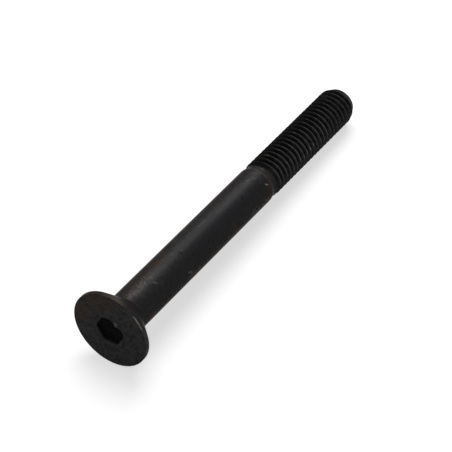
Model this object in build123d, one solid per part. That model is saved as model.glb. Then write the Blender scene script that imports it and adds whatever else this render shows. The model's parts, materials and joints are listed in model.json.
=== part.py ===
from build123d import *
import os
from math import atan2, ceil, cos, degrees, radians, sin, tan

# A countersunk socket screw, M8 x 80: one piece of steel, headed and punched, then thread-rolled.
# Sizes are in mm and degrees. A depth is measured along the screw, from the face of its head.

# Head: a 90 degree countersink under a low upright rim
LENGTH = 80.0  # over all, because the head sinks flush
HEAD_DIAMETER = 15.9
RIM_HEIGHT = 0.88
RIM_EDGE_BEVEL = 0.15
CONE_ANGLE = 90.0
NECK_RADIUS = 0.6  # hollow curve from the cone into the shank

# Hexagon socket, punched into the face
SOCKET_ACROSS_FLATS = 5.03
SOCKET_DEPTH = 3.5
SOCKET_MOUTH_BEVEL = 0.15
SOCKET_DISH_DIAMETER = 4.0  # shallow cone that the punch's nose leaves in the bottom
SOCKET_DISH_DEPTH = 0.5
SOCKET_TURN = -5.1  # how far one flat is turned away from the floor

# Plain shank, and the step down to the blank that the thread is rolled on
SHANK_DIAMETER = 7.82
SHOULDER_LENGTH = 1.1
WAIST_LENGTH = 0.7

# Thread: metric coarse, right-handed, rolled up to the tapered point
THREAD_DIAMETER = 7.87
THREAD_LENGTH = 30.0  # with its run-out at the waist
THREAD_PITCH = 1.25
THREAD_ANGLE = 60.0
THREAD_TURN = 237.0  # where round the screw the ridge starts
CREST_RISE = 0.6  # length in which the crest reaches its full height
ROOT_FALL = 1.6  # length in which the groove reaches its full depth
POINT_LENGTH = 1.8
POINT_DIAMETER = 6.14

# The metric thread form, as shares of the pitch
CREST_FLAT = THREAD_PITCH / 8
THREAD_DEPTH = 0.6134 * THREAD_PITCH
WAIST_DEPTH = 0.228 * THREAD_PITCH  # from the crests down to the waist
RIDGE_SINK = 0.05 * THREAD_PITCH  # how deep the ridge is let into the core

head_radius = HEAD_DIAMETER / 2
shank_radius = SHANK_DIAMETER / 2
crest_radius = THREAD_DIAMETER / 2
waist_radius = crest_radius - WAIST_DEPTH
root_radius = crest_radius - THREAD_DEPTH
point_radius = POINT_DIAMETER / 2
cone_end = RIM_HEIGHT + (head_radius - shank_radius) / tan(radians(CONE_ANGLE / 2))
thread_start = LENGTH - THREAD_LENGTH
waist_start = thread_start - WAIST_LENGTH
shoulder_start = waist_start - SHOULDER_LENGTH


def section(*points):
    """A closed face in (radius, depth), seen from the side."""
    return make_face(Polyline(*points, close=True))


def turned(side):
    """Revolves a section about the screw's axis, with the seam on top as the screw lies."""
    return Rot(0, 0, 180) * revolve(Plane.XZ * side, Axis.Z)


def headed_blank():
    """Head, shank and waist, down to the cone on which the thread's grooves run out."""
    groove_slope = (waist_radius - root_radius) / ROOT_FALL
    inner_radius = root_radius - RIDGE_SINK
    side = section(
        (0, 0),
        (head_radius - RIM_EDGE_BEVEL, 0),
        (head_radius, RIM_EDGE_BEVEL),
        (head_radius, RIM_HEIGHT),
        (shank_radius, cone_end),
        (shank_radius, shoulder_start),
        (waist_radius, waist_start),
        (waist_radius, thread_start),
        (inner_radius, thread_start + (waist_radius - inner_radius) / groove_slope),
        (0, thread_start + (waist_radius - inner_radius) / groove_slope),
    )
    neck = side.vertices().sort_by_distance((shank_radius, cone_end))[0]
    return turned(fillet(neck, NECK_RADIUS))


def socket():
    """What the hexagon punch leaves: a bevelled mouth, straight walls and a dished bottom."""
    flat_distance = SOCKET_ACROSS_FLATS / 2
    mouth = RegularPolygon(flat_distance + SOCKET_MOUTH_BEVEL, 6, major_radius=False)
    bevel = extrude(mouth, SOCKET_MOUTH_BEVEL, taper=45)
    hexagon = RegularPolygon(flat_distance, 6, major_radius=False)
    walls = extrude(hexagon, SOCKET_DEPTH)
    dish = turned(section((0, 0), (SOCKET_DISH_DIAMETER / 2, 0), (0, SOCKET_DISH_DEPTH)))
    return Rot(0, 0, SOCKET_TURN) * (bevel + walls + Pos(0, 0, SOCKET_DEPTH) * dish)


def thread_ridge():
    """The ridge between the grooves, on its helix, a turn too long at each end."""
    crest_half = CREST_FLAT / 2
    base_radius = root_radius - RIDGE_SINK
    base_half = crest_half + (crest_radius - base_radius) * tan(radians(THREAD_ANGLE / 2))
    profile = section(
        (base_radius, -base_half),
        (crest_radius, -crest_half),
        (crest_radius, crest_half),
        (base_radius, base_half),
    )
    one_turn = Helix(THREAD_PITCH, THREAD_PITCH, crest_radius)
    turns = ceil(THREAD_LENGTH / THREAD_PITCH) + 2
    path = Wire([Pos(0, 0, turn * THREAD_PITCH) * one_turn for turn in range(turns)])
    ridge = sweep(Plane.XZ * profile, path=path, is_frenet=True)
    return Pos(0, 0, thread_start - THREAD_PITCH) * Rot(0, 0, THREAD_TURN) * ridge


def threaded_rod():
    """The ridge on its core, with both ends trimmed to their cones."""
    spare = 3 * THREAD_PITCH
    core = Cylinder(root_radius, THREAD_LENGTH + 2 * spare, align=(Align.CENTER, Align.CENTER, Align.MIN))
    rod = Pos(0, 0, thread_start - spare) * core + thread_ridge()

    # The crest rises from the waist on a short cone.
    reach = 2 * THREAD_PITCH
    rise = reach * (crest_radius - waist_radius) / CREST_RISE
    above_run_out = section(
        (waist_radius - rise, thread_start - reach),
        (waist_radius + rise, thread_start + reach),
        (crest_radius + reach, thread_start + reach),
        (crest_radius + reach, thread_start - reach),
    )

    # The blank's end was tapered before rolling, so the last crests fall away to the point.
    wide_radius = crest_radius + THREAD_PITCH
    taper = POINT_LENGTH * (wide_radius - point_radius) / (crest_radius - point_radius)
    round_the_point = section(
        (0, LENGTH),
        (point_radius, LENGTH),
        (wide_radius, LENGTH - taper),
        (wide_radius, LENGTH + spare + THREAD_PITCH),
        (0, LENGTH + spare + THREAD_PITCH),
    )
    return rod - turned(above_run_out) - turned(round_the_point)


def at_rest(screw):
    """Lays the screw along X on the floor, where its rim and its last full thread carry it."""
    last_full_thread = LENGTH - POINT_LENGTH
    lean = atan2(head_radius - crest_radius, last_full_thread - RIM_HEIGHT)
    height = head_radius * cos(lean) + RIM_HEIGHT * sin(lean)
    head_end = -(head_radius - RIM_EDGE_BEVEL) * sin(lean)
    point_end = LENGTH * cos(lean) + point_radius * sin(lean)
    middle = (head_end + point_end) / 2
    return Pos(-middle, 0, height) * Rot(0, 90 + degrees(lean), 0) * screw


screw = headed_blank() + threaded_rod() - socket()

os.makedirs("parts", exist_ok=True)
export_step(at_rest(screw), "parts/screw.step")
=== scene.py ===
import json
from math import acos, atan2, cos, pi, radians, sin, tan

import bpy
import numpy as np
from mathutils import Matrix, Vector


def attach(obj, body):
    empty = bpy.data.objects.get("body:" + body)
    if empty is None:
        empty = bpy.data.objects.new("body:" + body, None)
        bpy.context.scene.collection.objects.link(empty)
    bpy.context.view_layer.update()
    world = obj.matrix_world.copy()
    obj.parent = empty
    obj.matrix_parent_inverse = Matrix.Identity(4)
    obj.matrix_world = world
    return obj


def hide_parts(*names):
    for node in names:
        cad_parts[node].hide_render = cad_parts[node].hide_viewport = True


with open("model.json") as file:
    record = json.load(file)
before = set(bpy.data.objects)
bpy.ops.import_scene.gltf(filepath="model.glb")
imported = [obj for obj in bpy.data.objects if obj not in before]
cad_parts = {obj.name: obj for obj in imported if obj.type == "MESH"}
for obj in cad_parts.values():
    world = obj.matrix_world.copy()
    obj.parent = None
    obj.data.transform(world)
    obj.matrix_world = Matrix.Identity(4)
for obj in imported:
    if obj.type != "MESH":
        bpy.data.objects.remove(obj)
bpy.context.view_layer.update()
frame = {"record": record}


# ---------------------------------------------------------------------------------------------
# Where the screw lies: on its rim and its last full thread, so that its axis dips to the point.
# Its own frame is in mm, with Z along the axis, from the face of the head, and X down to the floor.
MM = 0.001
mounts = {mount["name"]: mount for mount in frame["record"]["mounts"]}
face_centre = Vector(mounts["drive_socket"]["pos_m"])
along = Vector(mounts["shank"]["axis"]).normalized()
across = Vector((0, 1, 0))
downward = across.cross(along)
screw_place = Matrix.Translation(face_centre) @ Matrix((downward, across, along)).transposed().to_4x4()


# ---------------------------------------------------------------------------------------------
# Socket. A 5 mm hexagon, punched cold into the face a little off the axis. Its mouth is drawn in
# to a soft lip, the punch's nose left a shallow cone in its bottom, and a burr hangs over a corner.
# The screw's skin is a run of loops round its axis, which starts here and ends at the point.
COLUMNS = 120
SOCKET_TURN = radians(-2.5)  # how far one flat is turned away from the floor
SOCKET_PLACE = (0.13, 0.0)  # how far the punch stood off the axis
SOCKET_FLAT = 5.03 / 2
SOCKET_DEPTH = 3.5
SOCKET_BEVEL = 0.2
SOCKET_CORNER_RADIUS = 0.2
MOUTH_CORNER_RADIUS = 1.1
LIP_DRAWN_IN = 0.2  # how much wider the lip is on the side of the floor
SOCKET_FOOT_RADIUS = 0.15
DISH_RADIUS = 2.0
DISH_DEPTH = 0.5
BURR_TURN = radians(-149)
BURR_REACH = 0.85
BURR_HALF_WIDTH = 0.6
BURR_THICKNESS = 0.35

angles = SOCKET_TURN + np.arange(COLUMNS) * 2 * pi / COLUMNS
loops = []


def add_loop(depth, radius, off_axis=0):
    """One loop round the axis. A depth or radius is one number, or one for each column."""
    x = off_axis * SOCKET_PLACE[0] + radius * np.cos(angles)
    y = off_axis * SOCKET_PLACE[1] + radius * np.sin(angles)
    loops.append(np.stack((x, y, depth + np.zeros(COLUMNS)), axis=-1))


def turn_from(start):
    """The angle of each column from a start angle, between -pi and pi."""
    return (angles - start + pi) % (2 * pi) - pi


def hexagon(flat, corner_radius):
    """The radius at each column of a hexagon with rounded corners."""
    from_flat = np.abs((angles - SOCKET_TURN + pi / 6) % (pi / 3) - pi / 6)
    from_corner = pi / 6 - from_flat
    corner_centre = (flat - corner_radius) / cos(pi / 6)
    beside = np.minimum(corner_centre * np.sin(from_corner), corner_radius)
    on_corner = corner_centre * np.cos(from_corner) + np.sqrt(corner_radius**2 - beside**2)
    flat_end = atan2((flat - corner_radius) * tan(pi / 6), flat)
    return np.where(from_flat < flat_end, flat / np.cos(from_flat), on_corner)


wall = hexagon(SOCKET_FLAT, SOCKET_CORNER_RADIUS)
mouth = hexagon(SOCKET_FLAT + SOCKET_BEVEL, MOUTH_CORNER_RADIUS)
mouth += LIP_DRAWN_IN * np.maximum(np.cos(turn_from(0)), 0) ** 4
burr = BURR_REACH * np.exp(-((turn_from(BURR_TURN) * SOCKET_FLAT / BURR_HALF_WIDTH) ** 2))
for share in (0.1, 0.4, 0.7, 1.0):
    add_loop(SOCKET_DEPTH + DISH_DEPTH * (1 - share), DISH_RADIUS * share, off_axis=1)
add_loop(SOCKET_DEPTH, (DISH_RADIUS + wall - SOCKET_FOOT_RADIUS) / 2, off_axis=1)
for share in (0, 1 / 3, 2 / 3, 1):
    up = SOCKET_FOOT_RADIUS * (1 - cos(share * pi / 2))
    inward = SOCKET_FOOT_RADIUS * (1 - sin(share * pi / 2))
    add_loop(SOCKET_DEPTH - up, wall - inward, off_axis=1)
for depth in np.linspace(SOCKET_DEPTH - 2 * SOCKET_FOOT_RADIUS, 2.5 * BURR_THICKNESS, 7):
    add_loop(depth, wall, off_axis=1)
for share in (1, 0.85, 0.7):
    add_loop(BURR_THICKNESS * share, wall - burr * (1 - share) ** 0.5, off_axis=1)
for share in (0.1, 0.3, 0.5, 0.7, 0.9):
    add_loop(SOCKET_BEVEL * (1 - share), wall + (mouth - wall) * share - burr, off_axis=1)


# ---------------------------------------------------------------------------------------------
# Head. Upset cold from the blank: a flat face, a low upright rim with its edges worn round, and
# the 90 degree cone that sinks into a countersink and ends in a small hollow neck.
HEAD_RADIUS = 7.95
RIM_HEIGHT = 0.88
RIM_EDGE_RADIUS = 0.15
RIM_BACK_RADIUS = 0.1
NECK_RADIUS = 0.6
SHANK_RADIUS = 3.91
SHOULDER_START = 48.2

cone_end = RIM_HEIGHT + HEAD_RADIUS - SHANK_RADIUS


def add_rounded(corner, before, after, radius, steps):
    """Loops round a corner of the turned section, as a fillet between its two sides."""
    corner, before, after = (np.array(point, float) for point in (corner, before, after))
    back = (before - corner) / np.linalg.norm(before - corner)
    onward = (after - corner) / np.linalg.norm(after - corner)
    half = acos(back @ onward) / 2
    centre = corner + (back + onward) / (2 * cos(half)) * radius / sin(half)
    first = corner + back * radius / tan(half) - centre
    last = corner + onward * radius / tan(half) - centre
    turn = pi - 2 * half
    for share in np.linspace(0, 1, steps + 1):
        spoke = (sin((1 - share) * turn) * first + sin(share * turn) * last) / sin(turn)
        add_loop(centre[0] + spoke[0], centre[1] + spoke[1])


def add_straight(start, end, steps):
    """Loops down a straight side of the turned section, without its two ends."""
    for share in np.linspace(0, 1, steps + 2)[1:-1]:
        add_loop(start[0] + share * (end[0] - start[0]), start[1] + share * (end[1] - start[1]))


rim_front = (0, HEAD_RADIUS)
rim_back = (RIM_HEIGHT, HEAD_RADIUS)
neck = (cone_end, SHANK_RADIUS)
shoulder = (SHOULDER_START, SHANK_RADIUS)
face_inside = mouth + 0.02 - burr
for share in np.linspace(0, 0.98, 16):
    radius = face_inside + (HEAD_RADIUS - RIM_EDGE_RADIUS - face_inside) * share
    add_loop(0, radius, off_axis=1 - share)
add_rounded(rim_front, (0, 0), rim_back, RIM_EDGE_RADIUS, steps=6)
add_straight((RIM_EDGE_RADIUS, HEAD_RADIUS), (RIM_HEIGHT - RIM_BACK_RADIUS / 2, HEAD_RADIUS), steps=4)
add_rounded(rim_back, rim_front, neck, RIM_BACK_RADIUS, steps=3)
add_straight((RIM_HEIGHT + 0.05, HEAD_RADIUS - 0.05), (cone_end - 0.3, SHANK_RADIUS + 0.3), steps=16)
add_rounded(neck, rim_back, shoulder, NECK_RADIUS, steps=5)


# ---------------------------------------------------------------------------------------------
# Shank. Plain drawn wire, down to a short shoulder and the narrower waist that the thread's
# grooves run out on.
SHOULDER_LENGTH = 1.1
SHOULDER_CURVE = 0.6
SHOULDER_TOP_RADIUS = 3.86
SHOULDER_FOOT_RADIUS = 3.68
WAIST_RADIUS = 3.65
WAIST_CURVE = 0.4
THREAD_START = 50.0

waist = (SHOULDER_START + SHOULDER_LENGTH, WAIST_RADIUS)
thread_foot = (THREAD_START, WAIST_RADIUS)
add_straight((cone_end + 0.3, SHANK_RADIUS), (SHOULDER_START - 0.1, SHANK_RADIUS), steps=120)
add_rounded(shoulder, neck, waist, SHOULDER_CURVE, steps=4)
shoulder_top = (SHOULDER_START + 0.2, SHOULDER_TOP_RADIUS)
add_straight(shoulder_top, (waist[0] - 0.1, SHOULDER_FOOT_RADIUS), steps=3)
add_rounded(waist, shoulder, thread_foot, WAIST_CURVE, steps=3)


# ---------------------------------------------------------------------------------------------
# Thread. M8 x 1.25, right-handed, rolled between dies, so its crests and roots are rounded and
# its first grooves run out on the waist. The blank's end was tapered before it was rolled.
LENGTH = 80.0
PITCH = 1.25
THREAD_TURN = radians(237)  # where round the screw the first crest starts
CREST_RADIUS = 3.935
THREAD_DEPTH = 0.6134 * PITCH
ROOT_RADIUS = CREST_RADIUS - THREAD_DEPTH
CREST_HALF = PITCH / 16
FLANK_ANGLE = radians(30)
CREST_SOFTNESS = 0.02
ROOT_SOFTNESS = 0.05
CREST_RISE = 0.6  # length in which the crest reaches its full height
ROOT_FALL = 1.6  # length in which the groove reaches its full depth
POINT_LENGTH = 1.8
POINT_RADIUS = 3.07
POINT_EDGE_RADIUS = 0.08
ROWS_PER_PITCH = 22


def soft_min(a, b, softness):
    """The lower of two surfaces, blended where they cross."""
    return -softness * np.logaddexp(-a / softness, -b / softness)


def soft_max(a, b, softness):
    """The higher of two surfaces, blended where they cross."""
    return softness * np.logaddexp(a / softness, b / softness)


def threaded_radius(depth):
    """The radius of the threaded end at one depth, at each column."""
    helix = THREAD_START - PITCH + PITCH * (angles - THREAD_TURN) / (2 * pi)
    from_crest = np.abs((depth - helix + PITCH / 2) % PITCH - PITCH / 2)
    flank = CREST_RADIUS + (CREST_HALF - from_crest) / tan(FLANK_ANGLE)
    radius = soft_max(soft_min(CREST_RADIUS, flank, CREST_SOFTNESS), ROOT_RADIUS, ROOT_SOFTNESS)
    rising = WAIST_RADIUS + (depth - THREAD_START) * (CREST_RADIUS - WAIST_RADIUS) / CREST_RISE
    run_out = WAIST_RADIUS - (depth - THREAD_START) * (WAIST_RADIUS - ROOT_RADIUS) / ROOT_FALL
    radius = soft_max(soft_min(radius, rising, CREST_SOFTNESS), run_out, CREST_SOFTNESS)
    to_point = (LENGTH - depth) / POINT_LENGTH
    return soft_min(radius, POINT_RADIUS + (CREST_RADIUS - POINT_RADIUS) * to_point, CREST_SOFTNESS)


for depth in np.arange(THREAD_START + 0.05, LENGTH - 0.1, PITCH / ROWS_PER_PITCH):
    add_loop(depth, threaded_radius(depth))
taper_start = (LENGTH - POINT_LENGTH, CREST_RADIUS)
add_rounded((LENGTH, POINT_RADIUS), taper_start, (LENGTH, 0), POINT_EDGE_RADIUS, steps=3)
for share in (0.85, 0.6, 0.35, 0.1):
    add_loop(LENGTH, POINT_RADIUS * share)


# ---------------------------------------------------------------------------------------------
# Skin. The loops are joined into one closed surface, which stands for the whole screw.
SHARP_EDGE_ANGLE = radians(35)

points = np.concatenate(loops)
row, column = np.meshgrid(np.arange(len(loops) - 1), np.arange(COLUMNS), indexing="ij")
this_one = row * COLUMNS + column
beside = row * COLUMNS + (column + 1) % COLUMNS
quads = np.stack((this_one, beside, beside + COLUMNS, this_one + COLUMNS), axis=-1).reshape(-1, 4)
socket_bottom = len(points)
point_centre = socket_bottom + 1
ends = [(*SOCKET_PLACE, SOCKET_DEPTH + DISH_DEPTH), (0, 0, LENGTH)]
last_loop = (len(loops) - 1) * COLUMNS
fans = [(socket_bottom, (k + 1) % COLUMNS, k) for k in range(COLUMNS)]
fans += [(point_centre, last_loop + k, last_loop + (k + 1) % COLUMNS) for k in range(COLUMNS)]

skin = bpy.data.meshes.new("screw_body")
places = np.vstack((points, ends))
skin.from_pydata(places.tolist(), [], quads.tolist() + fans)
own_place = skin.attributes.new("own_place", "FLOAT_VECTOR", "POINT")
own_place.data.foreach_set("vector", places.ravel())
skin.transform(screw_place @ Matrix.Scale(MM, 4))
skin.validate()
skin.shade_smooth()
skin.set_sharp_from_angle(angle=SHARP_EDGE_ANGLE)
screw = bpy.data.objects.new("screw_body", skin)
bpy.context.scene.collection.objects.link(screw)


# ---------------------------------------------------------------------------------------------
# Finish. A thin, dull black oxide, mottled grey, thick with soot in the thread's grooves, rubbed
# through to the steel on crests and edges, and rusting brown in patches, with painted shade over the
# grooves and one side, and painted highlights and glints on the other. All of it is placed by the
# screw's own mm.
OXIDE_DARK = (0.0085, 0.0085, 0.0087, 1)
PALE_OXIDE_AND_HIGHLIGHT = (0.025, 0.025, 0.0254, 1)
SOOT_AND_SHADE = (0.003, 0.003, 0.003, 1)
BLUED = (0.0125, 0.0127, 0.0143, 1)
SOCKET_WALL = (0.02, 0.02, 0.0205, 1)
DUST = (0.085, 0.084, 0.085, 1)
RUBBED_STEEL_AND_HIGHLIGHT = (0.07, 0.069, 0.067, 1)
GLINT_STEEL = (0.16, 0.157, 0.152, 1)
BROWN_FILM = (0.031, 0.0175, 0.0105, 1)
PALE_RUST = (0.062, 0.05, 0.039, 1)
GRAZING_TINT = 0.38
METALLIC = 0.7
SPECULAR = 0.1
RING_SPACING = 0.45
PIT_DEPTH = 0.05
PIT_STRENGTH = 0.5

oxide = bpy.data.materials.new("black_oxide")
oxide.use_nodes = True
nodes = oxide.node_tree.nodes
links = oxide.node_tree.links
surface = nodes["Principled BSDF"]
surface.inputs["Metallic"].default_value = METALLIC
surface.inputs["Specular IOR Level"].default_value = SPECULAR
surface.inputs["Specular Tint"].default_value = (GRAZING_TINT, GRAZING_TINT, GRAZING_TINT, 1)


def feed(socket, value):
    """Links a node's output to a socket, or sets the socket to a plain value."""
    if isinstance(value, bpy.types.NodeSocket):
        links.new(value, socket)
    else:
        socket.default_value = value


def maths(operation, *values):
    """One step of arithmetic on numbers."""
    node = nodes.new("ShaderNodeMath")
    node.operation = operation
    for socket, value in zip(node.inputs, values):
        feed(socket, value)
    return node.outputs["Value"]


def vectors(operation, *values, output="Vector"):
    """One step of arithmetic on vectors."""
    node = nodes.new("ShaderNodeVectorMath")
    node.operation = operation
    for socket, value in zip(node.inputs, values):
        feed(socket, value)
    return node.outputs[output]


def ramp(value, low, high, start=0.0, end=1.0):
    """A smooth change from start, where the value is low, to end, where it is high."""
    node = nodes.new("ShaderNodeMapRange")
    node.interpolation_type = "SMOOTHSTEP"
    for name, number in (("Value", value), ("From Min", low), ("From Max", high)):
        feed(node.inputs[name], number)
    node.inputs["To Min"].default_value = start
    node.inputs["To Max"].default_value = end
    return node.outputs["Result"]


def noise(place, scale, detail=3.0, roughness=0.5):
    """A cloudy pattern, with so many lumps to a mm."""
    node = nodes.new("ShaderNodeTexNoise")
    feed(node.inputs["Vector"], place)
    node.inputs["Scale"].default_value = scale
    node.inputs["Detail"].default_value = detail
    node.inputs["Roughness"].default_value = roughness
    return node.outputs["Fac"]


def blend(share, under, over):
    """Lays one colour over another by a share."""
    node = nodes.new("ShaderNodeMix")
    node.data_type = "RGBA"
    feed(node.inputs[0], share)
    feed(node.inputs[6], under)
    feed(node.inputs[7], over)
    return node.outputs[2]


def both(*masks):
    """Several masks multiplied together."""
    total = masks[0]
    for mask in masks[1:]:
        total = maths("MULTIPLY", total, mask)
    return total


def gather(masks):
    """The highest of several masks."""
    total = masks[0]
    for mask in masks[1:]:
        total = maths("MAXIMUM", total, mask)
    return total


def near(value, centre, full, none):
    """A band: 1 where the value is within full of its centre, and 0 beyond none of it."""
    return ramp(maths("ABSOLUTE", maths("SUBTRACT", value, centre)), full, none, 1, 0)


def on_side(depth, from_top, radius=SHANK_RADIUS):
    """The place on the screw's side at a depth, so many degrees round from its top."""
    turn = radians(from_top + 180)
    return (radius * cos(turn), radius * sin(turn), depth)


def spot(centre, size):
    """A soft, ragged mark at a place on the screw: 1 at its centre and 0 at its edge."""
    away = vectors("DISTANCE", place, centre, output="Value")
    away = maths("MULTIPLY_ADD", maths("SUBTRACT", mottle, 0.5), 1.6 * size, away)
    return ramp(away, 0.35 * size, size, 1, 0)


def streak(start, end, width):
    """A soft straight mark from one place to another."""
    course = Vector(end) - Vector(start)
    from_start = vectors("SUBTRACT", place, start)
    run = vectors("DOT_PRODUCT", from_start, course.normalized(), output="Value")
    run = maths("MINIMUM", maths("MAXIMUM", run, 0), course.length)
    nearest = vectors("MULTIPLY", run, course.normalized())
    away = vectors("DISTANCE", from_start, nearest, output="Value")
    away = maths("MULTIPLY_ADD", maths("SUBTRACT", grit, 0.5), width, away)
    return ramp(away, 0.1 * width, 0.5 * width, 1, 0)


def along_crest(depth, start, end, width=0.3):
    """A streak along one crest, between two turns from the top, at the depth where it starts."""
    drop = PITCH * (end - start) / 360
    first = on_side(depth, start, CREST_RADIUS)
    return streak(first, on_side(depth + drop, end, CREST_RADIUS), width)


mapped = nodes.new("ShaderNodeAttribute")
mapped.attribute_name = "own_place"
place = mapped.outputs["Vector"]
parts = nodes.new("ShaderNodeSeparateXYZ")
links.new(place, parts.inputs["Vector"])
own_x, own_y, depth_here = parts.outputs
flat_place = vectors("MULTIPLY", place, (1, 1, 0))
radius_here = vectors("LENGTH", flat_place, output="Value")
round_here = maths("ARCTAN2", maths("MULTIPLY", own_y, -1), maths("MULTIPLY", own_x, -1))
degrees_here = maths("MULTIPLY", round_here, 180 / pi)  # from the top of the screw

clouds = noise(place, 0.55, 4, 0.55)
mottle = noise(place, 1.6, 4, 0.6)
grit = noise(place, 6.0, 3, 0.6)
on_face = ramp(depth_here, 0.3, 0.1)
near_mouth = both(ramp(radius_here, 3.5, 3.3), ramp(depth_here, 8, 5))
in_mouth = both(near_mouth, ramp(depth_here, 0.0, 0.04))
lip = both(near_mouth, near(depth_here, 0.17, 0.1, 0.16))
on_rim = both(ramp(radius_here, HEAD_RADIUS - 0.14, HEAD_RADIUS - 0.03), ramp(depth_here, 1.1, 0.8))
off_end = ramp(radius_here, POINT_RADIUS - 0.1, POINT_RADIUS)  # all but the flat end of the point
on_thread = both(ramp(depth_here, THREAD_START - 0.5, THREAD_START + 0.1), off_end)
on_cone = both(ramp(depth_here, RIM_HEIGHT, 1.2), ramp(depth_here, cone_end + 0.2, cone_end - 0.4))
on_shank = both(ramp(depth_here, cone_end - 1, cone_end), ramp(depth_here, 47, 49, 1, 0))

# The oxide itself: mottled, but even and faintly blue along the middle of the shank
uneven = gather([on_face, on_thread, near(degrees_here, 33, 75, 45)])
tone = maths("ADD", maths("MULTIPLY", mottle, 0.6), maths("MULTIPLY", grit, 0.4))
tone = maths("ADD", tone, both(on_face, ramp(clouds, 0.3, 0.7, -0.03, 0.08)))
tone = maths("MULTIPLY_ADD", maths("SUBTRACT", tone, 0.5), ramp(uneven, 0, 1, 0.4, 1.3), 0.5)
coat = blend(ramp(tone, 0.36, 0.64), OXIDE_DARK, PALE_OXIDE_AND_HIGHLIGHT)
# Painted highlight: paler oxide over the top of the cone, where it catches the soft box
coat = blend(both(near(degrees_here, 15, 20, 45), on_cone, 0.5), coat, PALE_OXIDE_AND_HIGHLIGHT)
# Painted shade: soot-black over the top of the neck, dimming its highlight
coat = blend(both(near(degrees_here, 8, 14, 30), near(depth_here, 5.6, 0.6, 1.4), 0.32), coat, SOOT_AND_SHADE)
# Painted shade: darker down one side of the shank, away from the soft box
coat = blend(both(near(degrees_here, 60, 14, 45), on_shank, 0.2), coat, SOOT_AND_SHADE)
# A darker patch along the top of the middle of the shank
coat = blend(both(near(degrees_here, 13, 6, 20), near(depth_here, 25, 6, 12), 0.2), coat, SOOT_AND_SHADE)
coat = blend(both(near(degrees_here, 34, 8, 26), near(depth_here, 34, 11, 18), 0.6), coat, BLUED)

# Dust deep in the socket and in the roots of the thread
in_root = both(on_thread, ramp(radius_here, ROOT_RADIUS + 0.13, ROOT_RADIUS - 0.07))
coat = blend(in_mouth, coat, SOCKET_WALL)
coat = blend(gather([both(in_mouth, ramp(depth_here, 0.3, 2.5)), in_root]), coat, DUST)

# Soot and painted shade in the thread's grooves, much heavier over the thread's upper side; painted
# shade in its first groove and along the top of the rim; a darker socket lip; and soot in a few dents
# and a scratch
upper_side = near(degrees_here, -72, 77, 105)
in_groove = both(on_thread, ramp(radius_here, CREST_RADIUS - 0.05, CREST_RADIUS - 0.3))
dents = gather([spot(on_side(20.7, 17), 0.8), spot(on_side(40.3, 29), 0.5)])
scratch = streak(on_side(46.0, 34), on_side(47.2, 20), 0.3)
first_groove = both(on_thread, ramp(depth_here, THREAD_START + 2, THREAD_START), upper_side)
soot_and_shade = gather(
    [
        both(in_groove, ramp(upper_side, 0, 1, 0.15, 0.75), ramp(depth_here, 70, 77, 1, 0.5)),
        both(first_groove, 0.8),
        both(on_rim, near(degrees_here, 5, 20, 34), 0.3),
        both(dents, 0.45),
        both(scratch, 0.5),
        both(lip, 0.8),
    ]
)
coat = blend(soot_and_shade, coat, SOOT_AND_SHADE)
# Painted shade: the whole thread darker over its upper side
coat = blend(both(on_thread, near(degrees_here, -77, 57, 102), 0.65), coat, SOOT_AND_SHADE)

# Steel rubbed bare on the crests, the rim's edge and the shoulder, and in marks along the shank; in
# the same paler steel, painted highlights on the crests, rim and cone on one side, on the shoulder's
# edge and on the top of the shank near the head and beside the thread
on_crest = both(on_thread, ramp(radius_here, CREST_RADIUS - 0.2, CREST_RADIUS - 0.01))
# Painted highlight: the crests are rubbed bright only on one side, fading toward the point
crest_rub_and_highlight = both(on_crest, near(degrees_here, 52, 12, 52), ramp(depth_here, 66, 76, 0.55, 0.2))
crest_rub_and_highlight = both(crest_rub_and_highlight, ramp(grit, 0.35, 0.6, 0.5, 1))
# Painted highlight: a brighter band of crest on that side
lit_crest = both(on_crest, near(degrees_here, 49, 6, 20), ramp(depth_here, 67, 71, 0.7, 0))
rim_edge = both(on_rim, on_face)
shoulder_edge = near(depth_here, SHOULDER_START + 0.4, 0.2, 0.6)
# Painted highlights: blotches on the top of the shank beside the thread and near the head
ring_highlight = both(near(degrees_here, 6, 6, 18), near(depth_here, 45.5, 1.5, 3))
top_highlight_patch = both(near(degrees_here, 2, 6, 17), near(depth_here, 8.0, 3, 6), ramp(mottle, 0.4, 0.62))
worn_and_highlights = gather(
    [
        crest_rub_and_highlight,
        both(lit_crest, ramp(clouds, 0.35, 0.6, 0.6, 1)),
        both(rim_edge, near(degrees_here, -100, 40, 90), 0.3),
        both(rim_edge, 0.1),
        # Painted highlights on the rim's and cone's side and on the shoulder's edge
        both(on_rim, near(degrees_here, 86, 18, 34), 0.35),
        both(on_cone, near(degrees_here, 102, 12, 24), 0.45),
        both(shoulder_edge, ramp(degrees_here, 70, 90, 0.3, 0.6)),
        both(top_highlight_patch, 0.3),
        both(streak(on_side(28.4, -3), on_side(30.7, -2), 0.7), 0.15),
        both(streak(on_side(19.2, 0), on_side(19.7, 3), 0.6), 0.12),
        both(streak(on_side(21.1, 13), on_side(21.7, 14), 0.4), 0.2),
        both(streak(on_side(11.6, 22), on_side(11.9, 30), 0.5), 0.7),
        both(streak(on_side(11.9, 32), on_side(12.6, 61), 0.3), 0.2),
        both(streak(on_side(12.2, 41), on_side(13.4, 40), 0.3), 0.2),
        both(streak(on_side(46.2, 35), on_side(47.4, 21), 0.25), 0.3),
        both(streak(on_side(19.7, 74), on_side(20.5, 80), 0.5), 0.9),
        both(ring_highlight, ramp(mottle, 0.45, 0.6), 0.15),
    ]
)
coat = blend(both(worn_and_highlights, ramp(mottle, 0.3, 0.6, 0.5, 1)), coat, RUBBED_STEEL_AND_HIGHLIGHT)
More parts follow.
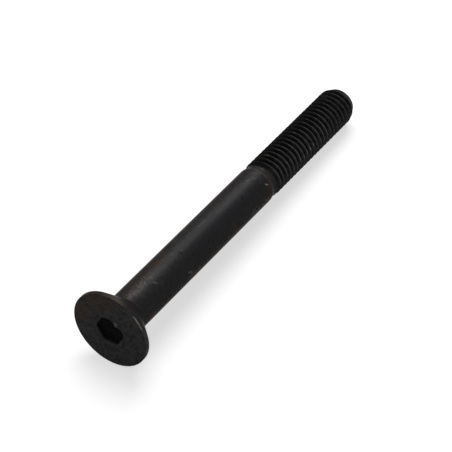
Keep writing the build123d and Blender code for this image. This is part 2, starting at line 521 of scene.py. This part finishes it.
# Painted glints in bright steel: on the rim's edge, the burr, a spot by the shoulder and short bits of
# crest on one side
painted_glints = gather(
    [
        both(rim_edge, near(degrees_here, 50, 6, 14)),
        both(spot((-2.15, -1.2, 0.1), 0.6), 0.35),
        streak(on_side(47.1, 47), on_side(47.6, 53), 0.42),
        both(along_crest(58.7, 66, 74), 0.5),
        both(along_crest(60.0, 70, 76), 0.4),
        both(along_crest(61.3, 66, 74), 0.6),
        both(along_crest(62.5, 64, 72), 0.9),
        both(along_crest(63.7, 62, 68), 0.7),
        both(along_crest(68.6, 42, 50), 0.3),
    ]
)
coat = blend(both(painted_glints, ramp(mottle, 0.3, 0.5, 0.4, 0.9)), coat, GLINT_STEEL)

# Rust: a faint brown film in patches and along both far sides, and a few golden streaks
off_thread = ramp(depth_here, THREAD_START, SHOULDER_START, 0.25, 1)
underside = ramp(maths("ABSOLUTE", degrees_here), 135, 175)
ragged = maths("MULTIPLY_ADD", maths("SUBTRACT", mottle, 0.5), 60, degrees_here)
far_side = gather([ramp(ragged, 80, 106), both(ramp(ragged, -5, -40), 0.4), underside])
film = gather(
    [
        both(spot((-5.8, 3.0, 0), 3.2), 0.5),
        both(spot((-6.0, 0.4, 0), 2.4), 0.4),
        both(spot((-1.5, 6.4, 0), 3.2), 0.5),
        both(spot((-3.6, -5.0, 0), 1.8), 0.25),
        both(spot((-0.5, -6.6, 0), 1.6), 0.25),
        both(rim_edge, ramp(maths("ABSOLUTE", degrees_here), 95, 125), 0.8),
        both(on_rim, near(degrees_here, 12, 16, 34), 0.35),
        both(streak(on_side(15.7, -14), on_side(16.4, -17), 1.3), 0.9),
        both(streak(on_side(7.0, -28), on_side(18.0, -24), 3.4), 0.45),
        both(top_highlight_patch, 0.5),
        both(spot(on_side(47.8, 66), 1.2), 0.7),
        both(spot(on_side(49.3, 41), 1.2), 0.6),
        streak(on_side(34.8, 62), on_side(35.4, 78), 0.9),
        both(far_side, ramp(depth_here, 1.0, 5.0), off_thread, off_end),
    ]
)
coat = blend(both(film, ramp(clouds, 0.36, 0.58, 0.5, 1)), coat, BROWN_FILM)
streaks = gather(
    [
        along_crest(53.45, -20, -6),
        along_crest(56.1, -4, 12),
        along_crest(57.45, 0, 12),
        both(along_crest(62.2, -14, 2), 0.6),
        along_crest(66.1, -6, 10),
        along_crest(71.1, 0, 12),
        along_crest(72.4, 6, 16),
        both(spot(on_side(66.7, 3, CREST_RADIUS - 0.3), 0.5), 0.4),
        both(spot(on_side(49.2, -5), 1.2), 0.2),
        both(spot(on_side(75.5, -20, CREST_RADIUS), 1.2), 0.3),
        both(streak(on_side(45.4, 93), on_side(47.4, 102), 2.4), 0.6),
        both(spot(on_side(42.0, 99), 2.0), 0.6),
        both(streak(on_side(32.8, 104), on_side(35.6, 97), 2.0), 0.55),
        both(streak(on_side(20.4, 92), on_side(23.4, 101), 2.4), 0.6),
        both(streak(on_side(5.6, 104), on_side(9.2, 97), 2.6), 0.55),
    ]
)
coat = blend(both(streaks, ramp(mottle, 0.36, 0.56), 0.7), coat, PALE_RUST)

links.new(coat, surface.inputs["Base Color"])
links.new(ramp(mottle, 0.3, 0.7, 0.37, 0.47), surface.inputs["Roughness"])

# Pits, and the fine rings left on the shank beside the thread, too shallow for the mesh
rings = maths("SINE", maths("MULTIPLY", depth_here, 2 * pi / RING_SPACING))
rings = both(rings, near(depth_here, 46.9, 0.6, 1.3), near(degrees_here, 8, 12, 24), 0.3)
relief = maths("ADD", both(mottle, ramp(uneven, 0, 1, 0.35, 0.8)), rings)
bump = nodes.new("ShaderNodeBump")
bump.inputs["Strength"].default_value = PIT_STRENGTH
bump.inputs["Distance"].default_value = PIT_DEPTH * MM
links.new(relief, bump.inputs["Height"])
links.new(bump.outputs["Normal"], surface.inputs["Normal"])
skin.materials.append(oxide)

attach(screw, "root")
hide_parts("screw")


# ---------------------------------------------------------------------------------------------
# Floor. A plain white sheet that the screw lies on.
FLOOR_REACH = 1.5
PAPER = 0.45
PAPER_ROUGHNESS = 0.9
PAPER_SPECULAR = 0.1
FLOOR_LIFT = 0.6  # glow that brings the sheet to white where it is seen

sheet = bpy.data.meshes.new("white_sheet")
corners = [(-1, -1), (1, -1), (1, 1), (-1, 1)]
sheet.from_pydata([(x * FLOOR_REACH, y * FLOOR_REACH, 0) for x, y in corners], [], [(0, 1, 2, 3)])
floor = bpy.data.objects.new("white_sheet", sheet)
bpy.context.scene.collection.objects.link(floor)


def seen_directly():
    """1 for rays from the camera, in mirrors and through glass, and 0 for the light that falls."""
    rays = nodes.new("ShaderNodeLightPath")
    reflected = maths("MAXIMUM", rays.outputs["Is Glossy Ray"], rays.outputs["Is Transmission Ray"])
    return maths("MAXIMUM", rays.outputs["Is Camera Ray"], reflected)


paper = bpy.data.materials.new("white_paper")
paper.use_nodes = True
nodes = paper.node_tree.nodes
links = paper.node_tree.links
surface = nodes["Principled BSDF"]
surface.inputs["Base Color"].default_value = (PAPER, PAPER, PAPER, 1)
surface.inputs["Roughness"].default_value = PAPER_ROUGHNESS
surface.inputs["Specular IOR Level"].default_value = PAPER_SPECULAR
surface.inputs["Emission Color"].default_value = (1, 1, 1, 1)
links.new(maths("MULTIPLY", seen_directly(), FLOOR_LIFT), surface.inputs["Emission Strength"])
sheet.materials.append(paper)


# ---------------------------------------------------------------------------------------------
# Light. One large soft box above and behind the screw, in an even white room.
ROOM_LEVEL = 0.35  # how much light falls from the room
ROOM_SEEN = 1.0  # how bright its walls are where they are seen or mirrored
SOFT_BOX_SIZE = 0.9
SOFT_BOX_PLACE = Vector((0.45, 0.31, 0.965))
SOFT_BOX_POWER = 12.7

lamp = bpy.data.lights.new("soft_box", "AREA")
lamp.shape = "SQUARE"
lamp.size = SOFT_BOX_SIZE
lamp.energy = SOFT_BOX_POWER
soft_box = bpy.data.objects.new("soft_box", lamp)
bpy.context.scene.collection.objects.link(soft_box)
soft_box.location = SOFT_BOX_PLACE
soft_box.rotation_euler = SOFT_BOX_PLACE.to_track_quat("Z", "Y").to_euler()

room = bpy.data.worlds.new("room")
bpy.context.scene.world = room
room.use_nodes = True
nodes = room.node_tree.nodes
links = room.node_tree.links
air = nodes["Background"]
air.inputs["Color"].default_value = (1, 1, 1, 1)
level = maths("MULTIPLY_ADD", seen_directly(), ROOM_SEEN - ROOM_LEVEL, ROOM_LEVEL)
links.new(level, air.inputs["Strength"])


# ---------------------------------------------------------------------------------------------
# Camera. A long lens, looking down at the head and along the shank.
CAMERA_FROM_FACE = Vector((-203.120, -157.782, 275.444)) * MM
CAMERA_AZIMUTH = radians(-56.779)  # 0 looks along +Y
CAMERA_ELEVATION = radians(44.218)
LENS = 167.93
SENSOR_WIDTH = 36.0
NEAREST_SEEN = 0.01

view = bpy.data.cameras.new("camera")
view.lens = LENS
view.sensor_width = SENSOR_WIDTH
view.clip_start = NEAREST_SEEN
camera = bpy.data.objects.new("camera", view)
bpy.context.scene.collection.objects.link(camera)
camera.location = face_centre + CAMERA_FROM_FACE
camera.rotation_euler = (pi / 2 - CAMERA_ELEVATION, 0, CAMERA_AZIMUTH)
bpy.context.scene.camera = camera
bpy.context.scene.view_settings.view_transform = "Standard"
